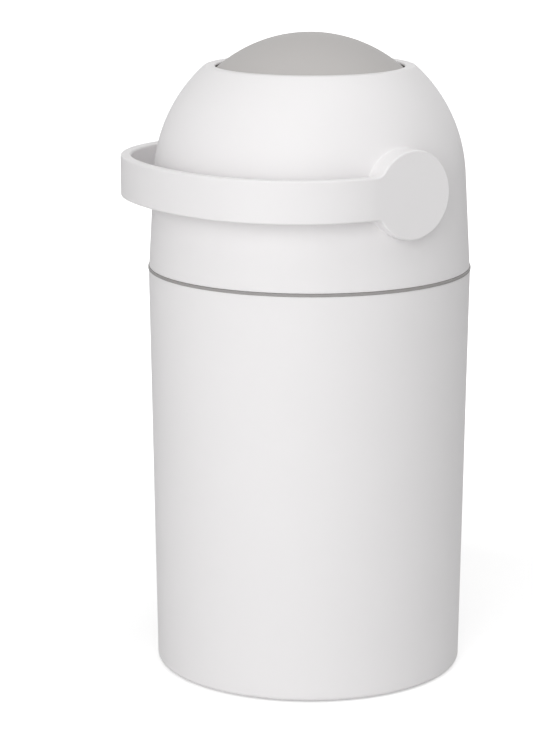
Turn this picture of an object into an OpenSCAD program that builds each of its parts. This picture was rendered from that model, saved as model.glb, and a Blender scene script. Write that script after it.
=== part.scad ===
// Nappy bin: a tall round tub under a hinged head. A ball-shaped drum turns in the head with a
// wide bail handle: the drum's cup takes a nappy at the top and drops it into the tub below.
// Millimetres, +Z up, origin on the floor under the tub's centre, the handle's rest side is -Y.

/* [Tub] */
// Height of the tub's rim above the floor
tub_h = 342.6; // [300:0.1:400]
// Outside radius of the tub at its rim
tub_top_r = 135.5; // [132:0.5:140]
// Outside radius of the tub at its base
tub_base_r = 130.2; // [122:0.1:132]
// Thickness of the tub's wall
tub_wall = 2.6; // [2:0.1:4]
// Thickness of the tub's floor
tub_floor = 3.2; // [2.4:0.1:6]
// Rounding of the tub's bottom edge
tub_edge_r = 4; // [3.5:0.5:8]

/* [Foot ring] */
// Middle radius of the non-slip ring under the tub
foot_r = 114; // [90:1:118]
// Width of the non-slip ring
foot_w = 8; // [4:0.5:12]
// Depth of the ring's groove in the tub's floor
foot_groove = 1.2; // [0.8:0.1:1.6]
// Height that the ring holds the tub off the floor
foot_proud = 1; // [0.6:0.1:2]

/* [Bag ring] */
// Thickness of the flange that shows between tub and head
ring_t = 2.4; // [1.6:0.1:5]
// Reach of the flange past the tub's rim
ring_proud = 0.5; // [0.2:0.1:2]
// Depth of the skirt that holds the bag inside the tub
ring_skirt_h = 12; // [6:0.5:20]
// Thickness of that skirt
ring_skirt_t = 2.2; // [1.5:0.1:3]
// Room for the bag between the skirt and the tub's wall
bag_gap = 0.6; // [0.4:0.1:1.2]
// Reach of the flange inwards from the skirt
ring_lip = 6; // [4:0.5:8]

/* [Lid shell] */
// Step from the tub's rim in to the lid's lower edge
lid_inset = 0.4; // [0.2:0.1:1.5]
// Gap under the lid's lower edge
lid_gap = 0.2; // [0.1:0.1:0.5]
// Thickness of the lid's wall
lid_wall = 2.6; // [2:0.1:3.2]
// Space from the drum out to the lid's outside
dome_gap = 9.4; // [8.6:0.1:10.5]
// Distance of the dome's arc centre from the middle of the bin
dome_shift = 3; // [2:0.5:4]
// Depth of the dome's arc centre below the drum's axle
dome_drop = 4.2; // [3:0.1:6]
// Radius of the round window in the top
window_r = 79; // [74:0.1:85]
// Gap from the drum to the window's edge
window_gap = 1.1; // [0.6:0.1:5]
// Radius of the rounded edge of the flat lip round the window
bead_r = 1.3; // [1:0.1:2.6]
// Rounding between the dome and the flat lip
shoulder_r = 3; // [2:0.5:4]

/* [Drum] */
// Radius of the drum
drum_r = 118.4; // [116:0.1:121]
// Height of the drum's axle above the lid's lower edge
axle_up = 76.3; // [70:0.1:80]
// Thickness of the drum's wall
drum_wall = 2.6; // [2:0.1:4]
// Depth of the flats on the drum's sides
flat_depth = 3.3; // [2.5:0.1:4.5]
// Thickness of the wall at those flats
flat_wall = 3; // [2:0.1:5]
// Space between the cup's mouth and the lid's window
mouth_margin = 2.9; // [2:0.1:6]
// Outside radius of the cup at its closed end
cup_end_r = 70; // [60:0.5:74]
// Height of the cup's closed end past the axle
cup_end_up = 84; // [70:0.5:86]
// Rounding of the cup's closed end
cup_corner_r = 22; // [12:0.5:30]
// Thickness of the cup's wall
cup_wall = 2.2; // [1.6:0.1:3]
// Width of the spherical flange that holds the cup in the drum
cup_flange_w = 12; // [8:0.5:16]
// Radius of the post that holds the cup's closed end
post_r = 7; // [5:0.5:12]

/* [Handle] */
// Room for fingers between the lid's lower edge and the handle
finger_gap = 8.5; // [7:0.1:25]
// Thickness of the handle's band and hubs
band_t = 9; // [8:0.1:14]
// Height of the handle's band
band_h = 34.8; // [24:0.1:44]
// Radius of the bend from the handle's sides to its front
bend_r = 115; // [50:1:130]
// Radius of the handle's front, flatter than its bends
front_r = 215; // [150:1:400]
// Radius of the round hubs at the handle's ends
hub_r = 36.4; // [32:0.1:42]
// Radius of the inside corners between band and hub
hub_fillet_r = 10; // [3:0.5:12]
// Gap between hub and lid
hub_gap = 0.4; // [0.3:0.1:1.5]
// Height of the lid's hub pads over the skirt
pad_proud = 0.2; // [0.1:0.1:2]
// Step in from the hub's edge to its pad's edge
pad_step = 0.5; // [0.5:0.5:3]

/* [Axle] */
// Radius of the trunnions' journals
journal_r = 12; // [10:0.5:13]
// Running clearance of the journals in their bushes
run_gap = 0.06; // [0.02:0.01:0.1]
// Thickness of the bushes
bush_t = 3; // [2:0.1:4]
// Width of the bushes' flanges
bush_flange_w = 3.5; // [2:0.1:5]
// Thickness of the bushes' flanges
bush_flange_t = 2; // [1.5:0.1:3]
// Side play between the drum and the bushes
side_play = 0.5; // [0.3:0.1:1]
// Width of the square that turns the drum
drive_w = 24; // [20:0.5:28]
// Radius of the trunnions' flanges
trunnion_flange_r = 22; // [20:0.5:26]
// Thickness of those flanges
trunnion_flange_t = 4; // [3:0.1:6]
// Width of the square key in the hub
key_w = 15; // [12:0.5:16]
// Length of that key
key_l = 3.4; // [3:0.1:5]

/* [Stops] */
// Distance of the hub's stop lug from the axle
stop_r = 26; // [24:0.5:28]
// Radius of the stop lug
stop_lug_r = 3; // [2:0.1:3.5]
// Reach of the stop lug into the pad's groove
stop_lug_l = 3.8; // [3:0.1:4]
// Thickness of the pads
pad_t = 6.5; // [6:0.1:8]
// Wall around the pads
pad_wall = 2.6; // [2:0.1:4]

/* [Inner frame] */
// Height of the frame above the lid's lower edge
frame_up = 2; // [1.5:0.1:4]
// Thickness of the frame
frame_t = 3; // [2.4:0.1:5]
// Gap from the frame's edge to the lid's wall
frame_gap = 0.6; // [0.4:0.1:1.5]
// Depth of the frame's centring rib
rib_h = 9; // [5:0.5:14]
// Thickness of the centring rib
rib_t = 2.4; // [1.6:0.1:3]
// Gap from the centring rib to the bag ring
rib_gap = 0.6; // [0.4:0.1:1.2]
// Width of the gasket between frame and bag ring
gasket_w = 5; // [3:0.1:6]
// Gap from the drum to the frame
frame_clear = 1.5; // [1:0.1:3]

/* [Seals] */
// Gap from the drum to each seal's edge
seal_gap = 0.3; // [0.2:0.1:0.5]
// Width of the drum's lower seal
seal_w = 5; // [3:0.1:6]
// Thickness of the drum's lower seal
seal_t = 3; // [2:0.1:4]
// Thickness of the clamp over the lower seal
clamp_t = 2.2; // [1.6:0.1:3]
// Width of the clamp's foot outside the seal
clamp_foot_w = 5.8; // [5:0.1:7]
// Width of the wiper under the window's edge
wiper_w = 8; // [5:0.5:12]

/* [Hinge] */
// Distance of the hinge pin behind the lid's lower edge
hinge_back = 9.4; // [8.5:0.1:14]
// Radius of the hinge's barrels
barrel_r = 6; // [5:0.1:7]
// Radius of the hinge pin
pin_r = 2.5; // [1.5:0.1:3]
// Width of the lid's barrel
lid_barrel_w = 32; // [20:1:50]
// Width of each of the tub's two barrels
tub_barrel_w = 12; // [8:1:20]
// Side play between the barrels
barrel_play = 0.3; // [0.2:0.1:0.8]
// Height of the lid's hinge gusset
lid_gusset_h = 30; // [20:1:45]
// Height of the tub's hinge gussets
tub_gusset_h = 28; // [20:1:45]

/* [Catch] */
// Width of the front catch spring
catch_w = 12; // [8:1:18]
// Thickness of the catch spring
catch_t = 0.8; // [0.5:0.1:1.2]
// Radius of the catch spring's nose
nose_r = 1.8; // [1.4:0.1:2.2]

/* [Screws] */
// Number of screws through the inner frame
frame_screw_n = 6; // [4:1:10]
// Number of screws through the seal clamp
clamp_screw_n = 8; // [6:1:12]
// Height of the lid's screw posts
frame_post_h = 22; // [12:1:24]
// Distance of the drum's screws from the bin's middle
drum_screw_r = 104; // [98:0.5:106]
// Height of the drum's screw posts
drum_post_h = 20; // [14:1:24]

/* [Hidden] */
$fn = 96;
// Facets of the large arcs that bound thin sections
fine = 360;

// Play between seated pieces whose curved faces meet
seat = 0.15;
// Overlap that makes a cut pass cleanly through a face
cut = 1;
// Play of a bore that grips its screw or pin
grip_gap = 0.05;
// Room round a screw's head in the drum's wells and in the trunnions
well_room = 0.6;
head_room = 1;
// Boss left past the tips of the clamp and catch screws
tip_cover = 1;

// Screws: shank radius, head radius and head height
small_screw = [1.5, 2.8, 2];
frame_screw = [2, 3.8, 2.6];
hub_screw = [2.5, 4.6, 3];
post_wall = 2.6;
tube_wall = 3.8;
thread_l = 14;
web_t = 3;

// Heights
foot_t = foot_groove + foot_proud;
rim_z = tub_h;
ring_top_z = rim_z + ring_t;
lid_z = ring_top_z + lid_gap;
axle_z = lid_z + axle_up;
dome_z = axle_z - dome_drop;
frame_z = lid_z + frame_up;
frame_top_z = frame_z + frame_t;

// Radii of the tub's inside and of the bag ring
tub_in_r = tub_top_r - tub_wall;
skirt_draft = (tub_top_r - tub_base_r) / (tub_h - foot_proud);
ring_skirt_r = tub_in_r - bag_gap - skirt_draft * ring_skirt_h;
ring_in_r = ring_skirt_r - ring_skirt_t - ring_lip;

// The lid's outside: a straight skirt that runs tangent into the dome's arc
lid_edge_r = tub_top_r - lid_inset;
dome_r = drum_r + dome_gap;
skirt_run = [dome_shift - lid_edge_r, dome_z - lid_z];
skirt_angle = atan2(skirt_run[1], skirt_run[0]) - asin(dome_r / norm(skirt_run));
skirt_l = sqrt(pow(norm(skirt_run), 2) - dome_r * dome_r);
function skirt_point(along, inset) = [
    lid_edge_r + along * cos(skirt_angle) - inset * sin(skirt_angle),
    lid_z + along * sin(skirt_angle) + inset * cos(skirt_angle)
];
tangent_z = skirt_point(skirt_l, 0)[1];
function lid_r_at(z) = z < tangent_z
    ? lid_edge_r + (z - lid_z) / tan(skirt_angle)
    : dome_shift + sqrt(dome_r * dome_r - pow(z - dome_z, 2));

// The flat lip round the window: its edge is a bead close to the drum, and a shoulder that
// touches the dome's arc from within rounds it into the dome
bead_x = window_r + bead_r;
bead_z = axle_z + sqrt(pow(drum_r + window_gap + bead_r, 2) - bead_x * bead_x);
lip_z = bead_z + bead_r;
shoulder_z = lip_z - shoulder_r;
shoulder_x = dome_shift + sqrt(pow(dome_r - shoulder_r, 2) - pow(shoulder_z - dome_z, 2));
shoulder_top_z = dome_z + (shoulder_z - dome_z) * dome_r / (dome_r - shoulder_r);

// The drum
function drum_r_at(z) = sqrt(drum_r * drum_r - pow(z - axle_z, 2));
drum_in_r = drum_r - drum_wall;
flat_x = drum_r - flat_depth;
flat_in_x = flat_x - flat_wall;
flat_lap = 2;
flat_disc_r = sqrt(drum_r * drum_r - flat_x * flat_x) + flat_lap;
cup_mouth_r = window_r - mouth_margin;
flange_out_r = drum_in_r - seat;
screw_seat_z = -12;
drum_screw_n = 4;
drum_screw_turn = 180 / drum_screw_n;
well_r = frame_screw[1] + well_room;

// The hubs and their pads
pad_r = hub_r - pad_step;
pad_x = lid_r_at(axle_z - hub_r) + pad_proud;
pad_in_x = pad_x - pad_t;
hub_back_x = pad_x + hub_gap;
hub_face_x = hub_back_x + band_t;
stop_floor_x = hub_back_x - stop_lug_l - 2 * seal_gap;

// The handle's plan: flat sides, two bends and a flatter front, each tangent to the next
front_y = front_r - lid_edge_r - finger_gap - band_t;
bend_x = hub_face_x - bend_r;
bend_y = front_y - sqrt(pow(front_r - bend_r, 2) - bend_x * bend_x);
fillet_y = -sqrt(pow(hub_r + hub_fillet_r, 2) - pow(band_h / 2 + hub_fillet_r, 2));
fillet_z = band_h / 2 + hub_fillet_r;

// The trunnions and bushes
bush_out_r = journal_r + run_gap + bush_t;
bush_x = flat_x + side_play;
bush_seat_x = bush_x + bush_flange_t;
tube_r = bush_out_r + seat + tube_wall;
hub_head_depth = 8;
hub_skin = 2;
hub_head_x = hub_back_x - hub_head_depth;
hub_thread_x = hub_face_x - hub_skin;

// The inner frame, the seals and the clamp
frame_r = lid_edge_r - lid_wall - frame_gap;
frame_in_r = drum_r_at(frame_top_z) + frame_clear;
rib_r = ring_in_r - rib_gap;
seal_r = frame_in_r + seal_w;
clamp_z = frame_top_z + seal_t;
clamp_top_z = clamp_z + clamp_t;
clamp_in_r = drum_r_at(clamp_top_z) + frame_clear;
clamp_r = seal_r + seat + clamp_foot_w;
clamp_screw_r = clamp_r - clamp_foot_w / 2;
clamp_boss_r = small_screw[0] + post_wall;
clamp_boss_h = 4;
frame_post_r = frame_screw[0] + post_wall;
frame_screw_r = (clamp_r + rib_r - rib_t) / 2;

// The hinge and the catch
hinge_y = lid_edge_r + hinge_back;
hinge_z = lid_z;
gusset_lean = 60;
pin_l = lid_barrel_w + 2 * (barrel_play + tub_barrel_w);
catch_y = -(rib_r - rib_t / 2);
nose_drop = 0.7;
catch_tail = 4;
catch_room = 4;
nose_z = rim_z - nose_r - nose_drop;
catch_foot_l = rib_r - frame_screw_r + catch_tail;
catch_slot_w = catch_w + catch_room;

white = "whitesmoke";
grey = "silver";
dark = "dimgray";
metal = "lightsteelblue";

// A cylinder along X between two distances from the middle, on the axle's line
module along_axle(x0, x1, r) {
    translate([x0, 0, axle_z]) rotate([0, 90, 0]) cylinder(h = x1 - x0, r = r);
}

// A square bar along X on the axle's line
module square_along_axle(x0, x1, w) {
    translate([x0, -w / 2, axle_z - w / 2]) cube([x1 - x0, w, w]);
}

// Its children, and their mirror image across the middle of the bin
module both_sides() {
    children();
    mirror([1, 0, 0]) children();
}

// Its children, turned to evenly spaced places round the bin
module around(n, turn = 0) {
    for (i = [0 : n - 1]) rotate([0, 0, turn + i * 360 / n]) children();
}

// A screw that points up, with its head's underside at the origin
module screw(kind, l) {
    translate([0, 0, -kind[2]]) cylinder(h = kind[2], r = kind[1]);
    cylinder(h = l, r = kind[0]);
}

module ring(z0, z1, r_in, r_out) {
    translate([0, 0, z0]) rotate_extrude() translate([r_in, 0]) square([r_out - r_in, z1 - z0]);
}

// ---- Tub ----

// Half section of everything inside the tub's wall, moved in by inset and up by raise
module tub_section(inset, raise) {
    z0 = foot_proud + raise;
    edge = tub_edge_r - min(inset, tub_edge_r - cut);
    base = tub_base_r - inset;
    side = base + skirt_draft * edge;
    polygon([
        [0, z0], [side - edge, z0], [side, z0 + edge],
        [tub_top_r - inset, rim_z], [0, rim_z]
    ]);
    intersection() {
        translate([side - edge, z0 + edge]) circle(r = edge);
        translate([side - edge, z0]) square(edge);
    }
}

module tub_gusset(x) {
    translate([x, 0, 0]) rotate([90, 0, 90]) linear_extrude(tub_barrel_w) {
        translate([hinge_y, hinge_z]) circle(r = barrel_r);
        polygon([
            [tub_in_r - cut, hinge_z - tub_gusset_h], [tub_in_r - cut, rim_z],
            [hinge_y - barrel_r, rim_z], [hinge_y - barrel_r, hinge_z],
            [hinge_y + barrel_r, hinge_z]
        ]);
    }
}

module hinge_bore(r) {
    translate([-pin_l, hinge_y, hinge_z]) rotate([0, 90, 0]) cylinder(h = 2 * pin_l, r = r);
}

module tub() {
    color(white) difference() {
        union() {
            rotate_extrude() tub_section(0, 0);
            both_sides() tub_gusset(lid_barrel_w / 2 + barrel_play);
        }
        rotate_extrude() union() {
            tub_section(tub_wall, tub_floor);
            translate([0, rim_z - cut]) square([tub_in_r, 2 * cut]);
        }
        ring(foot_proud - cut, foot_proud + foot_groove, foot_r - foot_w / 2 - seat,
            foot_r + foot_w / 2 + seat);
        hinge_bore(pin_r + grip_gap);
    }
}

module foot_ring() {
    color(dark) ring(0, foot_t, foot_r - foot_w / 2, foot_r + foot_w / 2);
}

module bag_ring() {
    color(grey) rotate_extrude() {
        translate([ring_in_r, rim_z]) square([tub_top_r + ring_proud - ring_in_r, ring_t]);
        translate([ring_skirt_r - ring_skirt_t, rim_z - ring_skirt_h])
            square([ring_skirt_t, ring_skirt_h]);
    }
}

module hinge_pin() {
    color(metal) translate([-pin_l / 2, hinge_y, hinge_z]) rotate([0, 90, 0])
        cylinder(h = pin_l, r = pin_r);
}

// ---- Lid ----

// Half section of everything inside the lid's outside, moved in by inset
module dome_section(inset) {
    foot = skirt_point(-lid_wall, inset);
    shoulder = skirt_point(skirt_l, inset);
    intersection() {
        union() {
            translate([dome_shift, dome_z]) circle(r = dome_r - inset);
            polygon([[0, foot[1]], foot, shoulder, [0, shoulder[1]]]);
        }
        translate([0, lid_z]) square([2 * lid_edge_r, 2 * dome_r]);
    }
}

// The groove that the hub's stop lug runs in, below the axle
module stop_groove() {
    r = stop_lug_r + seal_gap;
    translate([stop_floor_x, 0, axle_z]) rotate([90, 0, 90]) linear_extrude(pad_t) {
        intersection() {
            difference() {
                circle(r = stop_r + r);
                circle(r = stop_r - r);
            }
            translate([-hub_r, -hub_r]) square([2 * hub_r, hub_r]);
        }
        for (side = [-1, 1]) translate([side * stop_r, 0]) circle(r = r);
    }
}

module lid_gusset() {
    translate([-lid_barrel_w / 2, 0, 0]) rotate([90, 0, 90]) linear_extrude(lid_barrel_w) {
        translate([hinge_y, hinge_z]) circle(r = barrel_r);
        polygon([
            [frame_r, hinge_z], [frame_r, hinge_z + lid_gusset_h],
            [hinge_y + barrel_r * cos(gusset_lean), hinge_z + barrel_r * sin(gusset_lean)],
            [hinge_y, hinge_z - barrel_r / 2], [hinge_y - barrel_r * sin(gusset_lean), hinge_z]
        ]);
    }
}

// One post inside the skirt that takes a frame screw, with the web that carries it
module frame_post() {
    translate([frame_screw_r, 0, frame_top_z]) cylinder(h = frame_post_h, r = frame_post_r);
    translate([frame_screw_r, -web_t / 2, frame_top_z])
        cube([frame_r - frame_screw_r, web_t, frame_post_h]);
}

// Half section of the flat lip round the window and the shoulder at its outer edge
module window_lip(room) {
    translate([bead_x, bead_z]) circle(r = bead_r + room);
    translate([bead_x, bead_z - bead_r - room])
        square([shoulder_x - bead_x, 2 * (bead_r + room)]);
    translate([shoulder_x, shoulder_z]) circle(r = shoulder_r + room);
}

// The lid's thin wall, up to the window
module lid_skin() {
    rotate_extrude() {
        difference() {
            dome_section(0);
            dome_section(lid_wall);
            translate([0, shoulder_top_z]) square(2 * dome_r);
            square([shoulder_x, 2 * dome_z]);
        }
        window_lip(0);
    }
}

module lid_shell() {
    color(white) difference() {
        union() {
            difference() {
                union() {
                    lid_skin();
                    difference() {
                        union() {
                            both_sides() along_axle(flat_x, pad_x, pad_r);
                            lid_gusset();
                        }
                        rotate_extrude() dome_section(lid_wall / 2);
                    }
                }
                both_sides() along_axle(flat_x - pad_t, pad_in_x, pad_r - pad_wall);
            }
            both_sides() {
                along_axle(pad_in_x, pad_x, pad_r - pad_wall / 2);
                along_axle(bush_seat_x, pad_x, tube_r);
            }
            intersection() {
                around(frame_screw_n) frame_post();
                rotate_extrude() dome_section(lid_wall / 2);
            }
        }
        both_sides() {
            along_axle(flat_x, pad_x + cut, bush_out_r + seat);
            stop_groove();
        }
        hinge_bore(pin_r + run_gap);
        around(frame_screw_n) translate([frame_screw_r, 0, frame_top_z - cut])
            cylinder(h = thread_l + 2 * cut, r = frame_screw[0] + grip_gap);
    }
}

module window_wiper() {
    color(dark) rotate_extrude() difference() {
        intersection() {
            dome_section(lid_wall + seat);
            translate([bead_x, axle_z]) square([wiper_w, bead_z - axle_z]);
        }
        translate([0, axle_z]) circle(r = drum_r + seal_gap, $fn = fine);
        window_lip(seat, $fn = fine);
    }
}

// ---- Inner frame, seals and catch ----

module catch_slot() {
    translate([-catch_slot_w / 2, -rib_r - cut, frame_z - rib_h - cut])
        cube([catch_slot_w, rib_t + 2 * cut, rib_h + cut]);
}

module lid_frame() {
    color(white) difference() {
        union() {
            ring(frame_z, frame_top_z, frame_in_r, frame_r);
            difference() {
                ring(frame_z - rib_h, frame_z, rib_r - rib_t, rib_r);
                catch_slot();
            }
            around(clamp_screw_n, 180 / clamp_screw_n)
                translate([clamp_screw_r, 0, frame_z - clamp_boss_h])
                cylinder(h = clamp_boss_h + frame_t, r = clamp_boss_r);
            translate([0, -frame_screw_r, frame_z])
                cylinder(h = frame_t + clamp_boss_h, r = clamp_boss_r);
        }
        around(frame_screw_n) translate([frame_screw_r, 0, frame_z - cut])
            cylinder(h = frame_t + 2 * cut, r = frame_screw[0] + seat);
        around(clamp_screw_n, 180 / clamp_screw_n)
            translate([clamp_screw_r, 0, frame_z - clamp_boss_h - cut])
            cylinder(h = clamp_boss_h + frame_t + 2 * cut, r = small_screw[0] + grip_gap);
        translate([0, -frame_screw_r, frame_z - cut])
            cylinder(h = clamp_boss_h + frame_t, r = small_screw[0] + grip_gap);
    }
}

module frame_screws() {
    color(metal) around(frame_screw_n) translate([frame_screw_r, 0, frame_z])
        screw(frame_screw, frame_t + thread_l);
}

module head_gasket() {
    color(dark) ring(ring_top_z, frame_z, rib_r + seat, rib_r + seat + gasket_w);
}

module drum_seal() {
    color(dark) rotate_extrude() difference() {
        translate([drum_r_at(frame_top_z), frame_top_z])
            square([seal_r - drum_r_at(frame_top_z), seal_t]);
        translate([0, axle_z]) circle(r = drum_r + seal_gap, $fn = fine);
    }
}

module seal_clamp() {
    color(white) difference() {
        union() {
            ring(clamp_z, clamp_top_z, clamp_in_r, clamp_r);
            ring(frame_top_z, clamp_z, seal_r + seat, clamp_r);
        }
        around(clamp_screw_n, 180 / clamp_screw_n)
            translate([clamp_screw_r, 0, frame_top_z - cut])
            cylinder(h = seal_t + clamp_t + 2 * cut, r = small_screw[0] + seat);
    }
}

module clamp_screws() {
    color(metal) around(clamp_screw_n, 180 / clamp_screw_n)
        translate([clamp_screw_r, 0, clamp_top_z]) mirror([0, 0, 1])
        screw(small_screw, clamp_t + seal_t + frame_t + clamp_boss_h - tip_cover);
}

// A leaf spring with a rounded nose that snaps under the bag ring's flange
module catch_spring() {
    leaf_l = frame_z - nose_z + nose_r;
    color(metal) difference() {
        translate([-catch_w / 2, 0, 0]) rotate([90, 0, 90]) linear_extrude(catch_w) {
            translate([catch_y - catch_t / 2, frame_z - leaf_l]) square([catch_t, leaf_l]);
            translate([catch_y - catch_t / 2, frame_z - catch_t])
                square([catch_foot_l, catch_t]);
            translate([catch_y - nose_r, nose_z]) circle(r = nose_r);
        }
        translate([0, -frame_screw_r, frame_z - catch_t - cut])
            cylinder(h = catch_t + 2 * cut, r = small_screw[0] + seat);
    }
}

module catch_screw() {
    color(metal) translate([0, -frame_screw_r, frame_z - catch_t])
        screw(small_screw, catch_t + frame_t + clamp_boss_h - 2 * tip_cover);
}

// ---- Axle ----

module bush() {
    color(dark) difference() {
        union() {
            along_axle(bush_x, bush_seat_x, bush_out_r + bush_flange_w);
            along_axle(bush_x, pad_x, bush_out_r);
        }
        along_axle(flat_in_x, hub_face_x, journal_r + run_gap);
    }
}

module right_bush() { bush(); }

module left_bush() { mirror([1, 0, 0]) bush(); }

module trunnion() {
    color(grey) difference() {
        union() {
            along_axle(flat_in_x - trunnion_flange_t, flat_in_x, trunnion_flange_r);
            square_along_axle(flat_in_x, flat_x, drive_w);
            along_axle(flat_x, hub_back_x, journal_r);
            square_along_axle(hub_back_x, hub_back_x + key_l, key_w);
        }
        along_axle(0, hub_head_x, hub_screw[1] + head_room);
        along_axle(hub_head_x - cut, hub_face_x, hub_screw[0] + seat);
    }
}

module right_trunnion() { trunnion(); }

module left_trunnion() { mirror([1, 0, 0]) trunnion(); }

module hub_screws() {
    color(metal) both_sides() translate([hub_head_x, 0, axle_z]) rotate([0, 90, 0])
        screw(hub_screw, hub_thread_x - hub_head_x - seat);
}

// ---- Drum ----

// The drum's hollow ball with flat sides and thicker side walls, cut for the drive squares
module drum_ball() {
    difference() {
        intersection() {
            translate([0, 0, axle_z]) sphere(r = drum_r);
            along_axle(-flat_x, flat_x, drum_r + cut);
        }
        difference() {
            translate([0, 0, axle_z]) sphere(r = drum_in_r);
            both_sides() along_axle(flat_in_x, drum_r, flat_disc_r);
        }
        square_along_axle(-drum_r, drum_r, drive_w + 2 * seat);
    }
}

// A screw post of the drum with its web out to the wall, from one height to another
module drum_post(z0, z1, r) {
    translate([drum_screw_r, 0, axle_z + z0]) cylinder(h = z1 - z0, r = r);
    translate([drum_screw_r, -web_t / 2, axle_z + z0])
        cube([drum_r - drum_screw_r, web_t, z1 - z0]);
}

module upper_half() {
    translate([-drum_r, -drum_r, axle_z]) cube([2 * drum_r, 2 * drum_r, drum_r]);
}

module drum_dome() {
    pilot_r = frame_screw[0] + grip_gap;
    color(grey) difference() {
        union() {
            intersection() {
                drum_ball();
                upper_half();
            }
            intersection() {
                translate([0, 0, axle_z]) sphere(r = drum_in_r + drum_wall / 2);
                union() {
                    around(drum_screw_n, drum_screw_turn)
                        drum_post(0, drum_post_h, frame_screw[0] + post_wall);
                    translate([0, 0, axle_z + cup_end_up])
                        cylinder(h = drum_r, r = post_r);
                }
            }
        }
        around(drum_screw_n, drum_screw_turn) translate([drum_screw_r, 0, axle_z - cut])
            cylinder(h = thread_l + 2 * cut, r = pilot_r);
    }
}

module drum_base() {
    color(grey) difference() {
        union() {
            difference() {
                drum_ball();
                upper_half();
                translate([0, 0, axle_z - drum_r - cut])
                    cylinder(h = drum_r, r = cup_mouth_r + seat);
            }
            intersection() {
                translate([0, 0, axle_z]) sphere(r = drum_r - drum_wall / 2);
                around(drum_screw_n, drum_screw_turn) drum_post(-drum_r, 0, well_r + post_wall);
            }
        }
        around(drum_screw_n, drum_screw_turn) translate([drum_screw_r, 0, axle_z]) {
            translate([0, 0, -drum_r]) cylinder(h = drum_r + screw_seat_z, r = well_r);
            translate([0, 0, screw_seat_z - cut])
                cylinder(h = -screw_seat_z + 2 * cut, r = frame_screw[0] + seat);
        }
    }
}

module drum_screws() {
    color(metal) around(drum_screw_n, drum_screw_turn)
        translate([drum_screw_r, 0, axle_z + screw_seat_z])
        screw(frame_screw, thread_l - screw_seat_z);
}

// Half section of everything inside the cup, moved in by inset, with the axle's height at zero
module cup_section(inset) {
    corner_z = cup_end_up - cup_corner_r;
    polygon([
        [0, -drum_r], [cup_mouth_r - inset, -drum_r],
        [cup_end_r - inset, corner_z], [0, corner_z]
    ]);
    translate([cup_end_r - cup_corner_r, corner_z]) intersection() {
        circle(r = cup_corner_r - inset);
        square(cup_corner_r);
    }
    translate([0, corner_z - cut])
        square([cup_end_r - cup_corner_r, cup_corner_r - inset + cut]);
}

module drum_cup() {
    color(white) translate([0, 0, axle_z]) rotate_extrude() intersection() {
        difference() {
            union() {
                cup_section(0);
                intersection() {
                    difference() {
                        circle(r = flange_out_r);
                        circle(r = flange_out_r - drum_wall);
                    }
                    translate([0, -drum_r]) square([cup_mouth_r + cup_flange_w, drum_r]);
                }
            }
            cup_section(cup_wall);
        }
        circle(r = drum_r);
        translate([0, -drum_r]) square(2 * drum_r);
    }
}

// ---- Handle ----

// Everything inside the handle's outline in plan, moved in by inset and open at the back
module handle_plan(inset) {
    reach = 2 * front_r;
    far = reach / (front_r - bend_r);
    intersection() {
        translate([0, front_y]) circle(r = front_r - inset);
        polygon([
            [bend_x, bend_y], [far * bend_x, front_y + far * (bend_y - front_y)],
            [-far * bend_x, front_y + far * (bend_y - front_y)], [-bend_x, bend_y]
        ]);
    }
    intersection() {
        for (side = [-1, 1]) translate([side * bend_x, bend_y]) circle(r = bend_r - inset);
        translate([-reach, bend_y - reach]) square([2 * reach, reach]);
    }
    translate([inset - hub_face_x, bend_y])
        square([2 * (hub_face_x - inset), 2 * hub_r + inset - bend_y]);
}

// The webs that round the inside corners between the band and a hub
module hub_fillets() {
    reach = (hub_r - 1) / (hub_r + hub_fillet_r);
    for (side = [-1, 1]) scale([1, side]) difference() {
        polygon([
            [fillet_y, band_h / 2 - cut], [fillet_y, fillet_z],
            reach * [fillet_y, fillet_z], [0, band_h / 2 - cut]
        ]);
        translate([fillet_y, fillet_z]) circle(r = hub_fillet_r);
    }
}

// The handle's outline from the side: a hub, the band and the webs between them
module handle_side() {
    circle(r = hub_r);
    translate([-front_r, -band_h / 2]) square([front_r, band_h]);
    hub_fillets();
}

module handle() {
    half_l = hub_face_x + cut;
    color(white) difference() {
        union() {
            intersection() {
                translate([0, 0, axle_z - 2 * hub_r]) linear_extrude(4 * hub_r) difference() {
                    handle_plan(0);
                    handle_plan(band_t);
                }
                translate([-half_l, 0, axle_z]) rotate([90, 0, 90])
                    linear_extrude(2 * half_l) handle_side();
            }
            both_sides() translate([0, stop_r, 0])
                along_axle(hub_back_x - stop_lug_l, hub_back_x + cut, stop_lug_r);
        }
        both_sides() {
            square_along_axle(hub_back_x - cut, hub_back_x + key_l + seat, key_w + 2 * seat);
            along_axle(hub_back_x, hub_thread_x, hub_screw[0] + grip_gap);
        }
    }
}

tub();
foot_ring();
bag_ring();
hinge_pin();
lid_shell();
lid_frame();
frame_screws();
head_gasket();
window_wiper();
drum_seal();
seal_clamp();
clamp_screws();
right_bush();
left_bush();
catch_spring();
catch_screw();
drum_dome();
drum_base();
drum_cup();
drum_screws();
right_trunnion();
left_trunnion();
hub_screws();
handle();
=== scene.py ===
import math

import bmesh
import bpy
from mathutils import Matrix, Vector


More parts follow.
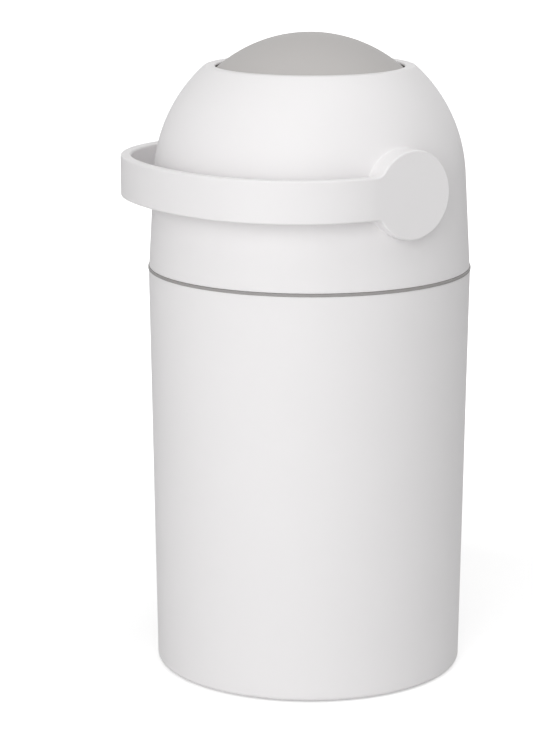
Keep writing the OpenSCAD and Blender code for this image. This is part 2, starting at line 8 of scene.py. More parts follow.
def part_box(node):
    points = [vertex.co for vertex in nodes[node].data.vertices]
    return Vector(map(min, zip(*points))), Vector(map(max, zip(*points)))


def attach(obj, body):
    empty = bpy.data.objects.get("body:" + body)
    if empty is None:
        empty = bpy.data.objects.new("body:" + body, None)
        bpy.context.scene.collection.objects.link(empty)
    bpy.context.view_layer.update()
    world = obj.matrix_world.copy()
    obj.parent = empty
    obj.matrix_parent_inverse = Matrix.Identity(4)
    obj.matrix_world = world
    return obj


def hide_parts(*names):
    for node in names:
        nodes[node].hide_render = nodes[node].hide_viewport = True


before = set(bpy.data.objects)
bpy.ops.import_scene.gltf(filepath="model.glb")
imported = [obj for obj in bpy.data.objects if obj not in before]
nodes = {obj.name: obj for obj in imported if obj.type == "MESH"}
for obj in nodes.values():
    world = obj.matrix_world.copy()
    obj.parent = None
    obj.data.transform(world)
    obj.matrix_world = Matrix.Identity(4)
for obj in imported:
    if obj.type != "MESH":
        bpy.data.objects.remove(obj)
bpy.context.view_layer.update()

# Sizes are in millimetres and turn to metres as each mesh is made.
mm = 0.001
scene = bpy.context.scene


def spanOf(node):
    # a node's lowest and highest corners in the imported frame
    low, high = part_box(node)
    return [value / mm for value in low], [value / mm for value in high]


ringLow, ringHigh = spanOf("bag_ring")
lidHigh = spanOf("lid_shell")[1]
drumLow, drumHigh = spanOf("drum_dome")
whole = dict(
    flangeWall=2.4, seamGap=0.2, drumRadius=drumHigh[2] - drumLow[2], drumWall=2.6,
    lidEdge=lidHigh[0], lidWall=2.6, domeX=3.0, domeDrop=4.2, domeGap=9.4, windowRadius=79.0,
    windowGap=1.1, beadRadius=1.3, shoulderRadius=3.0, play=0.15, roundSteps=6, soft=0.3, crisp=0.2,
)
rimZ, lidZ, axleZ = ringHigh[2] - whole["flangeWall"], ringHigh[2] + whole["seamGap"], drumLow[2]
soft, crisp, play = whole["soft"], whole["crisp"], whole["play"]
drumRadius, lidEdge, lidWall = whole["drumRadius"], whole["lidEdge"], whole["lidWall"]
domeX, domeZ = whole["domeX"], axleZ - whole["domeDrop"]
domeRadius = drumRadius + whole["domeGap"]


# short ways to write nodes

def addNode(tree, kind, inputs=(), **settings):
    made = tree.nodes.new(kind)
    for key, value in settings.items():
        setattr(made, key, value)
    for key, value in dict(inputs).items():
        if isinstance(value, bpy.types.NodeSocket):
            tree.links.new(value, made.inputs[key])
        else:
            made.inputs[key].default_value = value
    return made


def maths(tree, operation, first, second=0.0):
    return addNode(tree, "ShaderNodeMath", {0: first, 1: second}, operation=operation).outputs[0]


def times(tree, first, second):
    return maths(tree, "MULTIPLY", first, second)


def blankTree(owner):
    owner.use_nodes = True
    owner.node_tree.nodes.clear()
    return owner.node_tree


def remap(tree, value, low=0.0, high=1.0, toLow=0.0, toHigh=1.0):
    return addNode(tree, "ShaderNodeMapRange", {
        "Value": value, "From Min": low, "From Max": high, "To Min": toLow, "To Max": toHigh}).outputs[0]


def noise(tree, where, size, **inputs):
    scale = maths(tree, "DIVIDE", 1.0, size)
    return addNode(tree, "ShaderNodeTexNoise", {"Vector": where, "Scale": scale, **inputs}).outputs[0]


def mixColours(tree, factor, first, second):
    return addNode(tree, "ShaderNodeMix", {"Factor": factor, "A": first, "B": second},
                   data_type="RGBA").outputs["Result"]


def aroundZ(tree, radius, angle, height):
    return addNode(tree, "ShaderNodeCombineXYZ", {
        "X": times(tree, radius, maths(tree, "COSINE", angle)),
        "Y": times(tree, radius, maths(tree, "SINE", angle)), "Z": height}).outputs[0]


def startTree(name, kind, takes, gives):
    tree = bpy.data.node_groups.new(name, kind)
    for way, sockets in (("INPUT", takes), ("OUTPUT", gives)):
        for label, socket in sockets.items():
            tree.interface.new_socket(label, in_out=way, socket_type="NodeSocket" + socket)
    return tree, addNode(tree, "NodeGroupInput").outputs, addNode(tree, "NodeGroupOutput")


def endTree(tree, shape, finish, output):
    real = addNode(tree, "GeometryNodeRealizeInstances", {0: shape}).outputs[0]
    done = addNode(tree, "GeometryNodeSetMaterial", {"Geometry": real, "Material": finish}).outputs[0]
    tree.links.new(done, output)
    return tree


def useTree(piece, tree, values):
    # a modifier takes its inputs by the sockets' identifiers
    modifier = piece.modifiers.new(tree.name, "NODES")
    modifier.node_group = tree
    for item in tree.interface.items_tree:
        if item.in_out == "INPUT" and item.name in values:
            modifier[item.identifier] = values[item.name]


def modify(piece, kind, **settings):
    modifier = piece.modifiers.new(kind.lower(), kind)
    for key, value in settings.items():
        setattr(modifier, key, value)


# making, baking and cutting meshes

def meshPiece(name, points, faces, material):
    mesh = bpy.data.meshes.new(name)
    mesh.from_pydata([Vector(p) * mm for p in points], [], faces)
    mesh.materials.append(material)
    mesh.shade_smooth()
    piece = bpy.data.objects.new(name, mesh)
    scene.collection.objects.link(piece)
    return piece


def ringMesh(name, rings, material, ends="open"):
    # quads between each ring of points and the next, with the ends open, capped or joined
    size, count = len(rings[0]), len(rings)
    faces = []
    if ends == "capped":
        faces += [tuple(range(size))[::-1], tuple(range(size * (count - 1), size * count))]
    faces += [(i * size + k, i * size + (k + 1) % size,
               (i + 1) % count * size + (k + 1) % size, (i + 1) % count * size + k)
              for i in range(count if ends == "joined" else count - 1) for k in range(size)]
    return meshPiece(name, [point for ring in rings for point in ring], faces, material)


def bakeModifiers(piece):
    bpy.context.view_layer.update()
    graph = bpy.context.evaluated_depsgraph_get()
    old = piece.data
    piece.data = bpy.data.meshes.new_from_object(
        piece.evaluated_get(graph), preserve_all_data_layers=True, depsgraph=graph)
    piece.data.name = piece.name
    piece.modifiers.clear()
    bpy.data.meshes.remove(old)
    return piece


def closeSeams(piece, recalculate=False):
    mesh = bmesh.new()
    mesh.from_mesh(piece.data)
    bmesh.ops.remove_doubles(mesh, verts=mesh.verts, dist=0.002 * mm)
    bmesh.ops.dissolve_degenerate(mesh, edges=mesh.edges, dist=0.001 * mm)
    if recalculate:
        bmesh.ops.recalc_face_normals(mesh, faces=mesh.faces)
    if mesh.calc_volume(signed=True) < 0:
        bmesh.ops.reverse_faces(mesh, faces=mesh.faces)
    mesh.to_mesh(piece.data)
    mesh.free()
    return piece


def evenNormals(piece):
    # broad faces keep their own direction where they meet a small rounding
    modify(piece, "WEIGHTED_NORMAL", mode="FACE_AREA", keep_sharp=True, weight=50)
    return bakeModifiers(piece)


def sharpenAbove(piece, degrees=38):
    mesh = bmesh.new()
    mesh.from_mesh(piece.data)
    for edge in mesh.edges:
        edge.smooth = len(edge.link_faces) == 2 and edge.calc_face_angle() < math.radians(degrees)
    mesh.to_mesh(piece.data)
    mesh.free()
    return piece


def carve(piece, cutters):
    for cutter in cutters:
        modify(piece, "BOOLEAN", operation="DIFFERENCE", solver="EXACT", object=cutter)
    bakeModifiers(piece)
    for cutter in cutters:
        bpy.data.objects.remove(cutter)
    return sharpenAbove(piece)


def joinPieces(name, parts):
    mesh = bmesh.new()
    for part in parts:
        mesh.from_mesh(part.data)
    keep = parts[0]
    mesh.to_mesh(keep.data)
    mesh.free()
    for part in parts[1:]:
        bpy.data.objects.remove(part)
    keep.name = keep.data.name = name
    return keep


def place(piece, body, slot, *replaced):
    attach(piece, body)
    if replaced:
        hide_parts(*replaced)
    return piece


# flat sections, from which turned and extruded pieces are made

def polar(radius, angle):
    return radius * math.cos(angle), radius * math.sin(angle)


def arc(centreX, centreZ, radius, start, end, steps):
    points = [polar(radius, math.radians(start + (end - start) * i / steps)) for i in range(steps + 1)]
    return [(centreX + x, centreZ + z, 0) for x, z in points]


def roundCorners(corners, steps=whole["roundSteps"], share=0.48):
    # a corner is (x, z, rounding), and a rounding of zero keeps it as it is
    points = []
    for i, (x, z, rounding) in enumerate(corners):
        here = Vector((x, z))
        if rounding <= 0:
            points.append(here)
            continue
        back = Vector(corners[i - 1][:2]) - here
        on = Vector(corners[(i + 1) % len(corners)][:2]) - here
        half = back.angle(on) / 2
        reach = min(rounding / math.tan(half), share * back.length, share * on.length)
        radius = reach * math.tan(half)
        centre = here + (back.normalized() + on.normalized()).normalized() * radius / math.sin(half)
        first = here + back.normalized() * reach - centre
        last = here + on.normalized() * reach - centre
        sweep = first.angle(last)
        for k in range(steps + 1):
            t = k / steps
            points.append(centre + (first * math.sin((1 - t) * sweep)
                                    + last * math.sin(t * sweep)) / math.sin(sweep))
    return points


def cornersOf(sizes, *corners):
    # each corner names its radius, height and rounding among a piece's sizes
    return roundCorners([[sizes[key] for key in corner.split()] for corner in corners])


def spaceOut(points, longest):
    # long straight runs get points between, so that their faces stay short
    spaced = [points[0]]
    for start, end in zip(points, points[1:]):
        count = max(1, math.ceil((end - start).length / longest))
        spaced += [start.lerp(end, k / count) for k in range(1, count + 1)]
    return spaced


def extrudeX(name, outline, low, high, bevel, material):
    # a flat outline in Y and Z, carried along X, with its rims rounded
    rings = [[(x, y, z) for y, z in outline] for x in (low, high)]
    piece = closeSeams(ringMesh(name, rings, material, "capped"), True)
    if bevel:
        modify(piece, "BEVEL", width=bevel * mm, segments=3, limit_method="ANGLE",
               angle_limit=math.radians(50))
        evenNormals(bakeModifiers(piece))
    return piece


def rod(name, start, end, radius, material, sides=32):
    turn = (Vector(end) - Vector(start)).to_track_quat("Z", "Y").to_matrix()
    angles = [math.tau * k / sides for k in range(sides)]
    rings = [[Vector(along) + turn @ Vector((*polar(radius, angle), 0)) for angle in angles]
             for along in (start, end)]
    return sharpenAbove(ringMesh(name, rings, material, "capped"))


def block(name, low, high, material):
    points = [(x, y, z) for x in (low[0], high[0]) for y in (low[1], high[1]) for z in (low[2], high[2])]
    faces = [(0, 1, 3, 2), (4, 6, 7, 5), (0, 4, 5, 1), (2, 3, 7, 6), (0, 2, 6, 4), (1, 5, 7, 3)]
    return sharpenAbove(meshPiece(name, points, faces, material))


print("stage: helpers ready")


# what the finishes share: mould grain, marks of handling and dust

wear = dict(pitScale=0.7, pitShare=0.5, stretch=9.0, scuffFrom=0.60, scuffTo=0.78, dustUp=0.35,
            dustFrom=0.42, dustTo=0.75)


def grainGroup():
    # fine spark-eroded mould texture: a height and a small change of roughness
    tree, take, give = startTree(
        "mouldedGrain", "ShaderNodeTree",
        {"Vector": "Vector", "Grain Size": "Float", "Ripple Size": "Float", "Ripple": "Float"},
        {"Height": "Float", "Fleck": "Float"})
    fine = noise(tree, take["Vector"], take["Grain Size"], Detail=3.0, Roughness=0.6)
    pits = addNode(tree, "ShaderNodeTexVoronoi", {
        "Vector": take["Vector"], "Scale": maths(tree, "DIVIDE", wear["pitScale"], take["Grain Size"]),
        "Randomness": 1.0}, feature="SMOOTH_F1").outputs["Distance"]
    ripple = noise(tree, take["Vector"], take["Ripple Size"], Detail=1.0)
    grain = maths(tree, "ADD", fine, times(tree, pits, wear["pitShare"]))
    height = maths(tree, "ADD", grain, times(tree, ripple, take["Ripple"]))
    tree.links.new(height, give.inputs["Height"])
    tree.links.new(fine, give.inputs["Fleck"])
    return tree


def handlingGroup():
    # broad soft clouds from handling, and faint fine wiping marks round the bin
    tree, take, give = startTree(
        "handlingMarks", "ShaderNodeTree",
        {"Vector": "Vector", "Cloud Size": "Float", "Scuff Size": "Float", "Amount": "Float"},
        {"Cloud": "Float", "Scuff": "Float"})
    cloud = noise(tree, take["Vector"], take["Cloud Size"], Detail=4.0, Roughness=0.55, Distortion=0.4)
    stretch = addNode(tree, "ShaderNodeMapping", {
        "Vector": take["Vector"], "Scale": (1.0, 1.0, wear["stretch"])}).outputs[0]
    marks = noise(tree, stretch, take["Scuff Size"], Detail=2.0, Distortion=1.2)
    sharp = remap(tree, marks, wear["scuffFrom"], wear["scuffTo"])
    tree.links.new(times(tree, cloud, take["Amount"]), give.inputs["Cloud"])
    tree.links.new(times(tree, times(tree, sharp, cloud), take["Amount"]), give.inputs["Scuff"])
    return tree


def dustGroup():
    # a trace of dust that settles on faces that look up
    tree, take, give = startTree(
        "settledDust", "ShaderNodeTree",
        {"Vector": "Vector", "Patch Size": "Float", "Amount": "Float"}, {"Dust": "Float"})
    facing = addNode(tree, "ShaderNodeSeparateXYZ", {
        0: addNode(tree, "ShaderNodeNewGeometry").outputs["True Normal"]}).outputs["Z"]
    up = remap(tree, facing, wear["dustUp"])
    patch = noise(tree, take["Vector"], take["Patch Size"], Detail=6.0, Roughness=0.7)
    speck = remap(tree, patch, wear["dustFrom"], wear["dustTo"])
    tree.links.new(times(tree, times(tree, up, speck), take["Amount"]), give.inputs["Dust"])
    return tree


grainTree, handlingTree, dustTree = grainGroup(), handlingGroup(), dustGroup()


plainLook = dict(
    colour=(0.864, 0.850, 0.854), shade=(0.834, 0.820, 0.824), dustColour=(0.74, 0.72, 0.69),
    roughness=0.46, roughSpread=0.10, scuffRough=0.12, bump=0.22, bumpDepth=0.12,
    metallic=0.0, ior=1.49, specular=0.32,
    grain={"Grain Size": 0.0011, "Ripple Size": 0.09, "Ripple": 0.6},
    marks={"Cloud Size": 0.11, "Scuff Size": 0.05, "Amount": 0.7},
    dust={"Patch Size": 0.012, "Amount": 0.05},
)


def makeFinish(name, **changes):
    look = {**plainLook, **changes}
    material = bpy.data.materials.new(name)
    tree = blankTree(material)
    where = addNode(tree, "ShaderNodeTexCoord").outputs["Object"]
    grain, marks, dust = (
        addNode(tree, "ShaderNodeGroup", {"Vector": where, **look[kind]}, node_tree=group).outputs
        for kind, group in (("grain", grainTree), ("marks", handlingTree), ("dust", dustTree)))
    tone = mixColours(tree, marks["Cloud"], (*look["colour"], 1), (*look["shade"], 1))
    dusty = mixColours(tree, dust["Dust"], tone, (*look["dustColour"], 1))
    rough = maths(tree, "ADD", times(tree, grain["Fleck"], look["roughSpread"]),
                  maths(tree, "ADD", look["roughness"] - look["roughSpread"] / 2,
                        times(tree, marks["Scuff"], look["scuffRough"])))
    bump = addNode(tree, "ShaderNodeBump", {
        "Strength": look["bump"], "Distance": look["bumpDepth"] * mm, "Height": grain["Height"]})
    shader = addNode(tree, "ShaderNodeBsdfPrincipled", {
        "Base Color": dusty, "Roughness": rough, "Normal": bump.outputs[0],
        "Metallic": look["metallic"], "IOR": look["ior"],
        "Specular IOR Level": look["specular"]})
    addNode(tree, "ShaderNodeOutputMaterial", {"Surface": shader.outputs[0]})
    return material


white = makeFinish("whitePolypropylene")
whiteInside = makeFinish(
    "whitePolypropyleneInside", roughness=0.36, bump=0.12,
    grain={"Grain Size": 0.0018, "Ripple Size": 0.06, "Ripple": 1.0})
drumGrey = makeFinish(
    "warmGreyPolypropylene", colour=(0.525, 0.508, 0.497), shade=(0.50, 0.483, 0.473),
    dustColour=(0.58, 0.56, 0.54), roughness=0.50, specular=0.16,
    dust={"Patch Size": 0.010, "Amount": 0.06})
# the ring's grey is set darker than its own tone, so that it also carries painted shade from the shadow
# gaps above and below it
ringGreyWithGapShade = makeFinish(
    "midGreyPolypropyleneWithGapShade", colour=(0.35, 0.337, 0.332), shade=(0.327, 0.315, 0.311),
    dustColour=(0.5, 0.49, 0.47), roughness=0.44)
rubber = makeFinish(
    "blackRubber", colour=(0.018, 0.018, 0.019), shade=(0.024, 0.024, 0.024),
    dustColour=(0.12, 0.116, 0.112), roughness=0.72, roughSpread=0.16, bump=0.5, bumpDepth=0.2,
    specular=0.2, grain={"Grain Size": 0.0007, "Ripple Size": 0.02, "Ripple": 0.3},
    dust={"Patch Size": 0.006, "Amount": 0.08})
acetal = makeFinish(
    "naturalAcetal", colour=(0.70, 0.695, 0.66), shade=(0.65, 0.64, 0.60), roughness=0.30, bump=0.1)
steel = makeFinish(
    "zincPlatedSteel", colour=(0.66, 0.67, 0.68), shade=(0.55, 0.56, 0.56),
    dustColour=(0.4, 0.38, 0.36), roughness=0.30, roughSpread=0.18, metallic=1.0, specular=0.5,
    bump=0.3, bumpDepth=0.05, grain={"Grain Size": 0.0006, "Ripple Size": 0.01, "Ripple": 0.4},
    marks={"Cloud Size": 0.008, "Scuff Size": 0.004, "Amount": 1.0})
print("stage: materials ready")


# round pieces are a section carried once round

def revolveTreeOf():
    # carries a section, whose points run in order in X and Z, once round the Z axis
    tree, take, give = startTree(
        "turnedSection", "GeometryNodeTree",
        {"Section": "Geometry", "Segments": "Int", "Finish": "Material"}, {"Turned": "Geometry"})
    count = addNode(tree, "GeometryNodeAttributeDomainSize", {
        0: take["Section"]}, component="MESH").outputs["Point Count"]
    around = maths(tree, "ADD", take["Segments"], 1.0)
    grid = addNode(tree, "GeometryNodeMeshGrid", {
        "Vertices X": count, "Vertices Y": around}).outputs["Mesh"]
    index = addNode(tree, "GeometryNodeInputIndex").outputs[0]
    along = maths(tree, "FLOOR", maths(tree, "DIVIDE", index, around))
    step = maths(tree, "MODULO", index, around)
    point = addNode(tree, "GeometryNodeSampleIndex", {
        0: take["Section"], "Value": addNode(tree, "GeometryNodeInputPosition").outputs[0],
        "Index": along}, data_type="FLOAT_VECTOR", domain="POINT").outputs[0]
    part = addNode(tree, "ShaderNodeSeparateXYZ", {0: point}).outputs
    angle = times(tree, maths(tree, "DIVIDE", step, take["Segments"]), math.tau)
    turned = addNode(tree, "GeometryNodeSetPosition", {
        "Geometry": grid, "Position": aroundZ(tree, part["X"], angle, part["Z"])}).outputs[0]
    merged = addNode(tree, "GeometryNodeMergeByDistance", {
        "Geometry": turned, "Distance": 0.003 * mm}).outputs[0]
    smooth = addNode(tree, "GeometryNodeSetShadeSmooth", {"Geometry": merged}).outputs[0]
    return endTree(tree, smooth, take["Finish"], give.inputs["Turned"])


revolveTree = revolveTreeOf()


def turn(name, section, material, closed=True, segments=192, longest=16):
    points = spaceOut(section + section[:1] if closed else section, longest)
    piece = meshPiece(name, [(p.x, 0, p.y) for p in points], [], material)
    useTree(piece, revolveTree, {"Segments": segments, "Finish": material})
    bakeModifiers(piece)
    closeSeams(piece)
    return evenNormals(piece)


tubLow, tubHigh = spanOf("tub")
footHigh = spanOf("foot_ring")[1]
footRing = dict(inner=footHigh[0] - 8.0, outer=footHigh[0], top=footHigh[2], ridgeDepth=0.35, ridges=3,
                ridgeRounding=0.15)
tub = dict(topRadius=tubHigh[0], baseRadius=130.2, wall=2.6, floorLow=tubLow[2],
           floorHigh=tubLow[2] + 3.2, baseRounding=4.0, innerRounding=2.5, rimRounding=0.4,
           grooveIn=footRing["inner"] - play, grooveOut=footRing["outer"] + play,
           grooveTop=footRing["top"], rim=rimZ, soft=soft, crisp=crisp, axis=0, none=0)
draft = (tub["topRadius"] - tub["baseRadius"]) / (rimZ - tub["floorLow"])
tub["innerFoot"] = tub["baseRadius"] - tub["wall"] + draft * (tub["floorHigh"] - tub["floorLow"])
tub["innerTop"] = tub["topRadius"] - tub["wall"]
tubSection = cornersOf(
    tub, "axis floorLow none", "grooveIn floorLow soft", "grooveIn grooveTop crisp",
    "grooveOut grooveTop crisp", "grooveOut floorLow soft", "baseRadius floorLow baseRounding",
    "topRadius rim rimRounding", "innerTop rim rimRounding", "innerFoot floorHigh innerRounding",
    "axis floorHigh none")
place(turn("tubWall", tubSection, white, closed=False), "bin", "white_plastic", "tub")

ridgePitch = (footRing["outer"] - footRing["inner"]) / (2 * footRing["ridges"] + 1)
footCorners = [(footRing["inner"], footRing["top"], crisp), (footRing["inner"], 0, soft)]
for i in range(footRing["ridges"]):
    left = footRing["inner"] + ridgePitch * (2 * i + 1)
    right = left + ridgePitch
    footCorners += [(x, z, footRing["ridgeRounding"]) for x, z in (
        (left, 0), (left, footRing["ridgeDepth"]), (right, footRing["ridgeDepth"]), (right, 0))]
footCorners += [(footRing["outer"], 0, soft), (footRing["outer"], footRing["top"], crisp)]
place(turn("footRing", roundCorners(footCorners, steps=3), rubber), "bin", "dark_rubber", "foot_ring")

bagRing = dict(outer=ringHigh[0], low=rimZ, high=ringHigh[2], skirtOut=132.114, skirtWall=2.2,
               skirtLow=ringLow[2], flangeIn=6.0, rim=0.5, lip=1.0, corner=0.8, notch=soft)
bagRing["skirtIn"] = bagRing["skirtOut"] - bagRing["skirtWall"]
bagRing["inner"] = bagRing["skirtIn"] - bagRing["flangeIn"]
place(turn("bagRing", cornersOf(
    bagRing, "inner low lip", "skirtIn low corner", "skirtIn skirtLow lip", "skirtOut skirtLow lip",
    "skirtOut low notch", "outer low rim", "outer high rim", "inner high lip",
), ringGreyWithGapShade), "bin", "ring_grey", "bag_ring")
print("stage: tub and rings made")


bushLow, bushHigh = spanOf("right_bush")
hubRadius = spanOf("handle")[1][1]
lid = dict(edgeRounding=0.4, padRadius=hubRadius - 0.5, padFace=bushHigh[0], padInner=bushHigh[0] - 6.5,
           padWall=2.6, bushBore=15.21, tubeRadius=19.01, tubeEnd=bushLow[0] + 2.0, flare=1.0,
           flareSteps=10, flareTail=0.7, flareDip=0.35, rootDip=1.3, padRounding=0.35, padTurns=144,
           faceRing=24.0, faceRim=3.0, cutFrom=109.5, cutTo=150.0, cutRoom=0.01, leastWall=0.05,
           flareMost=0.85, flareTaken=0.8, roundMost=0.4, leastRoof=0.1)
lid["padHollow"] = lid["padRadius"] - lid["padWall"]
runX, runZ = domeX - lidEdge, domeZ - lidZ
runLength = math.hypot(runX, runZ)
skirtAngle = math.atan2(runZ, runX) - math.asin(domeRadius / runLength)
skirtLength = math.sqrt(runLength ** 2 - domeRadius ** 2)


def skirtPoint(along, inset):
    return (lidEdge + along * math.cos(skirtAngle) - inset * math.sin(skirtAngle),
            lidZ + along * math.sin(skirtAngle) + inset * math.cos(skirtAngle))


tangentZ = skirtPoint(skirtLength, 0)[1]


def lidRadiusAt(z):
    if z < tangentZ:
        return lidEdge + (z - lidZ) / math.tan(skirtAngle)
    return domeX + math.sqrt(domeRadius ** 2 - (z - domeZ) ** 2)


# the window's flat lip ends in a bead, and a rounded shoulder carries it on the dome
bead, shoulder = whole["beadRadius"], whole["shoulderRadius"]
beadX = whole["windowRadius"] + bead
beadZ = axleZ + math.sqrt((drumRadius + whole["windowGap"] + bead) ** 2 - beadX ** 2)
shoulderOut = domeRadius - shoulder
shoulderZ = beadZ + bead - shoulder
shoulderX = domeX + math.sqrt(shoulderOut ** 2 - (shoulderZ - domeZ) ** 2)
shoulderAngle = math.degrees(math.atan2(shoulderZ - domeZ, shoulderX - domeX))
skirtNormal = math.degrees(skirtAngle) - 90
innerRadius = domeRadius - lidWall
meetCosine = (innerRadius ** 2 - shoulderOut ** 2 - shoulder ** 2) / (2 * shoulderOut * shoulder)
meetAngle = math.degrees(math.acos(meetCosine))
innerTop = shoulderAngle - math.degrees(math.asin(
    shoulder * math.sin(math.radians(meetAngle)) / innerRadius))


def besideShoulder(radius, z):
    # where a circle round the shoulder's centre crosses a height on the window's side
    return 180 - math.degrees(math.asin((z - shoulderZ) / radius))


footIn = skirtPoint(-lidWall / math.tan(skirtAngle), lidWall)
lidCorners = [(lidEdge, lidZ, lid["edgeRounding"])]
lidCorners += arc(domeX, domeZ, domeRadius, skirtNormal, shoulderAngle, 48)
lidCorners += arc(shoulderX, shoulderZ, shoulder, shoulderAngle, 90, 8)[1:]
lidCorners += arc(beadX, beadZ, bead, 90, 270, 16)
lidCorners += arc(shoulderX, shoulderZ, shoulder, besideShoulder(shoulder, beadZ - bead),
                  360 + shoulderAngle - meetAngle, 16)
lidCorners += arc(domeX, domeZ, innerRadius, innerTop, skirtNormal, 30)[1:]
lidCorners += [(footIn[0], footIn[1], lid["edgeRounding"])]
lidSkin = turn("lidSkin", roundCorners(lidCorners), white, segments=240)
carve(lidSkin, [rod("cut", (side * lid["cutFrom"], 0, axleZ), (side * lid["cutTo"], 0, axleZ),
                    lid["padHollow"] + lid["cutRoom"], white, sides=96) for side in (-1, 1)])
place(lidSkin, "head", "white_plastic", "lid_shell")


def lidDepth(y, z):
    return math.sqrt(lidRadiusAt(z) ** 2 - y * y)


def hubPad(name, side):
    # a round pad under the handle's hub, flared softly onto the lid
    rings = []
    for k in range(lid["padTurns"]):
        angle = math.tau * k / lid["padTurns"]
        y, z = math.cos(angle), math.sin(angle)
        onLid = lambda radius: lidDepth(radius * y, axleZ + radius * z)
        edge, face = lid["padRadius"], lid["padFace"]
        # flare and rounding give way where the pad's wall is low
        wallHeight = max(face - onLid(edge), lid["leastWall"])
        flare = min(lid["flare"], lid["flareMost"] * wallHeight)
        small = min(lid["padRounding"], lid["roundMost"] * (wallHeight - lid["flareTaken"] * flare))
        ring = [(face, lid["bushBore"]), (face, lid["faceRing"]),
                (face, edge - small - lid["faceRim"]), (face, edge - small)]
        ring += [(face - small * (1 - math.cos(t)), edge - small * (1 - math.sin(t)))
                 for t in (math.pi / 8, math.pi / 4, math.pi * 3 / 8, math.pi / 2)]
        for i in range(lid["flareSteps"] + 1):
            t = math.pi / 2 * i / lid["flareSteps"]
            out = flare * (1 - math.cos(t))
            ring.append((onLid(edge + out) + flare * (1 - math.sin(t)), edge + out))
        far = edge + flare + lid["flareTail"]
        ring += [(onLid(far) - lid["flareDip"], far), (onLid(far) - lid["rootDip"], far)]
        hollow = lid["padHollow"]
        ring += [(min(lid["padInner"] - lid["leastRoof"], onLid(hollow) - lid["rootDip"]), hollow)]
        ring += [(lid["padInner"], hollow), (lid["padInner"], lid["tubeRadius"]),
                 (lid["tubeEnd"], lid["tubeRadius"]), (lid["tubeEnd"], lid["bushBore"])]
        rings.append([(side * x, radius * y, axleZ + radius * z) for x, radius in ring])
    pad = sharpenAbove(closeSeams(ringMesh(name, rings, white, "joined")), 60)
    return evenNormals(carve(pad, [stopGroove(side)]))


stop = dict(radius=26.0, lug=3.0, reach=3.8, root=1.0, room=0.3, floor=lid["padFace"] - 4.0,
            out=lid["padFace"] + 2.0)


def stopGroove(side):
    # half a ring below the axle with round ends, where the hub's lug runs
    wide = stop["lug"] + stop["room"]
    outline = [(y, axleZ + z) for y, z, _ in
               arc(0, 0, stop["radius"] + wide, 180, 360, 48)
               + arc(stop["radius"], 0, wide, 0, 180, 12)[1:]
               + arc(0, 0, stop["radius"] - wide, 360, 180, 48)[1:]
               + arc(-stop["radius"], 0, wide, 0, 180, 12)[1:-1]]
    low, high = sorted((side * stop["floor"], side * stop["out"]))
    return extrudeX("cut", outline, low, high, 0, white)


for name, side in (("rightHubPad", 1), ("leftHubPad", -1)):
    place(hubPad(name, side), "head", "white_plastic", "lid_shell")

pinLow, pinHigh = spanOf("hinge_pin")
hinge = dict(barrel=6.0, lidHalf=16.0, gap=0.3, tubWidth=12.0, bore=2.56, pin=2.5, pinRoom=0.05,
             pinHalf=pinHigh[0], pinRounding=0.5, bevel=0.7, lidIn=133.2, lidTop=29.0, lidTurn=60,
             tubIn=133.0, tubFoot=27.0, tubTurn=-35.5, boreReach=60.0)
hingeY, barrel = (pinLow[1] + pinHigh[1]) / 2, hinge["barrel"]
lidHinge = extrudeX("lidHinge", [(hinge["lidIn"], lidZ), (hinge["lidIn"], lidZ + hinge["lidTop"])] + [
    p[:2] for p in arc(hingeY, lidZ, barrel, hinge["lidTurn"], -180, 40)],
    -hinge["lidHalf"], hinge["lidHalf"], hinge["bevel"], white)
boreLine = [(side * hinge["boreReach"], hingeY, lidZ) for side in (-1, 1)]
carve(lidHinge, [rod("cut", *boreLine, hinge["bore"], white)])
place(lidHinge, "head", "white_plastic", "lid_shell")

tubOutline = [(hinge["tubIn"], rimZ), (hinge["tubIn"], lidZ - hinge["tubFoot"])] + [
    p[:2] for p in arc(hingeY, lidZ, barrel, hinge["tubTurn"], 180, 36)] + [(hingeY - barrel, rimZ)]
tubHinges, near = [], hinge["lidHalf"] + hinge["gap"]
for side in (-1, 1):
    low, high = sorted((side * near, side * (near + hinge["tubWidth"])))
    tubHinges.append(extrudeX("tubHinge", tubOutline, low, high, hinge["bevel"], white))
tubHinge = carve(joinPieces("tubHinge", tubHinges),
                 [rod("cut", *boreLine, hinge["pin"] + hinge["pinRoom"], white)])
place(tubHinge, "bin", "white_plastic", "tub")


def turnAlongX(piece, x, y, z, degrees=90):
    # a piece made along Z is laid along X, with its start at x, y and z
    piece.data.transform(Matrix.Translation((x * mm, y * mm, z * mm))
                         @ Matrix.Rotation(math.radians(degrees), 4, "Y"))
    return piece


pinHalf = hinge["pinHalf"]
pinSection = roundCorners([(0, -pinHalf, 0), (hinge["pin"], -pinHalf, hinge["pinRounding"]),
                           (hinge["pin"], pinHalf, hinge["pinRounding"]), (0, pinHalf, 0)], 4)
hingePin = turn("hingePin", pinSection, steel, closed=False, segments=32)
place(turnAlongX(hingePin, 0, hingeY, lidZ), "bin", "steel", "hinge_pin")

smallScrew = dict(shank=1.5, head=2.8, headHeight=2.0, pitch=1.1)
largeScrew = dict(shank=2.0, head=3.8, headHeight=2.6, pitch=1.4)
hubScrew = dict(shank=2.5, head=4.6, headHeight=3.0, pitch=1.6)
frameScrewOut = spanOf("frame_screws")[1][0]
posts = dict(count=6, radius=frameScrewOut - largeScrew["head"], postRadius=4.6, low=lidZ + 5.0,
             high=lidZ + 27.0, web=3.0)
posts["wall"] = lidRadiusAt(posts["high"]) - lidWall / 2
postParts = []
for i in range(posts["count"]):
    spin = Matrix.Rotation(math.tau * i / posts["count"], 4, "Z")
    post = rod("post", (posts["radius"], 0, posts["low"]), (posts["radius"], 0, posts["high"]),
               posts["postRadius"], whiteInside)
    web = block("web", (posts["radius"], -posts["web"] / 2, posts["low"]),
                (posts["wall"], posts["web"] / 2, posts["high"]), whiteInside)
    for part in (post, web):
        part.data.transform(spin)
        postParts.append(part)
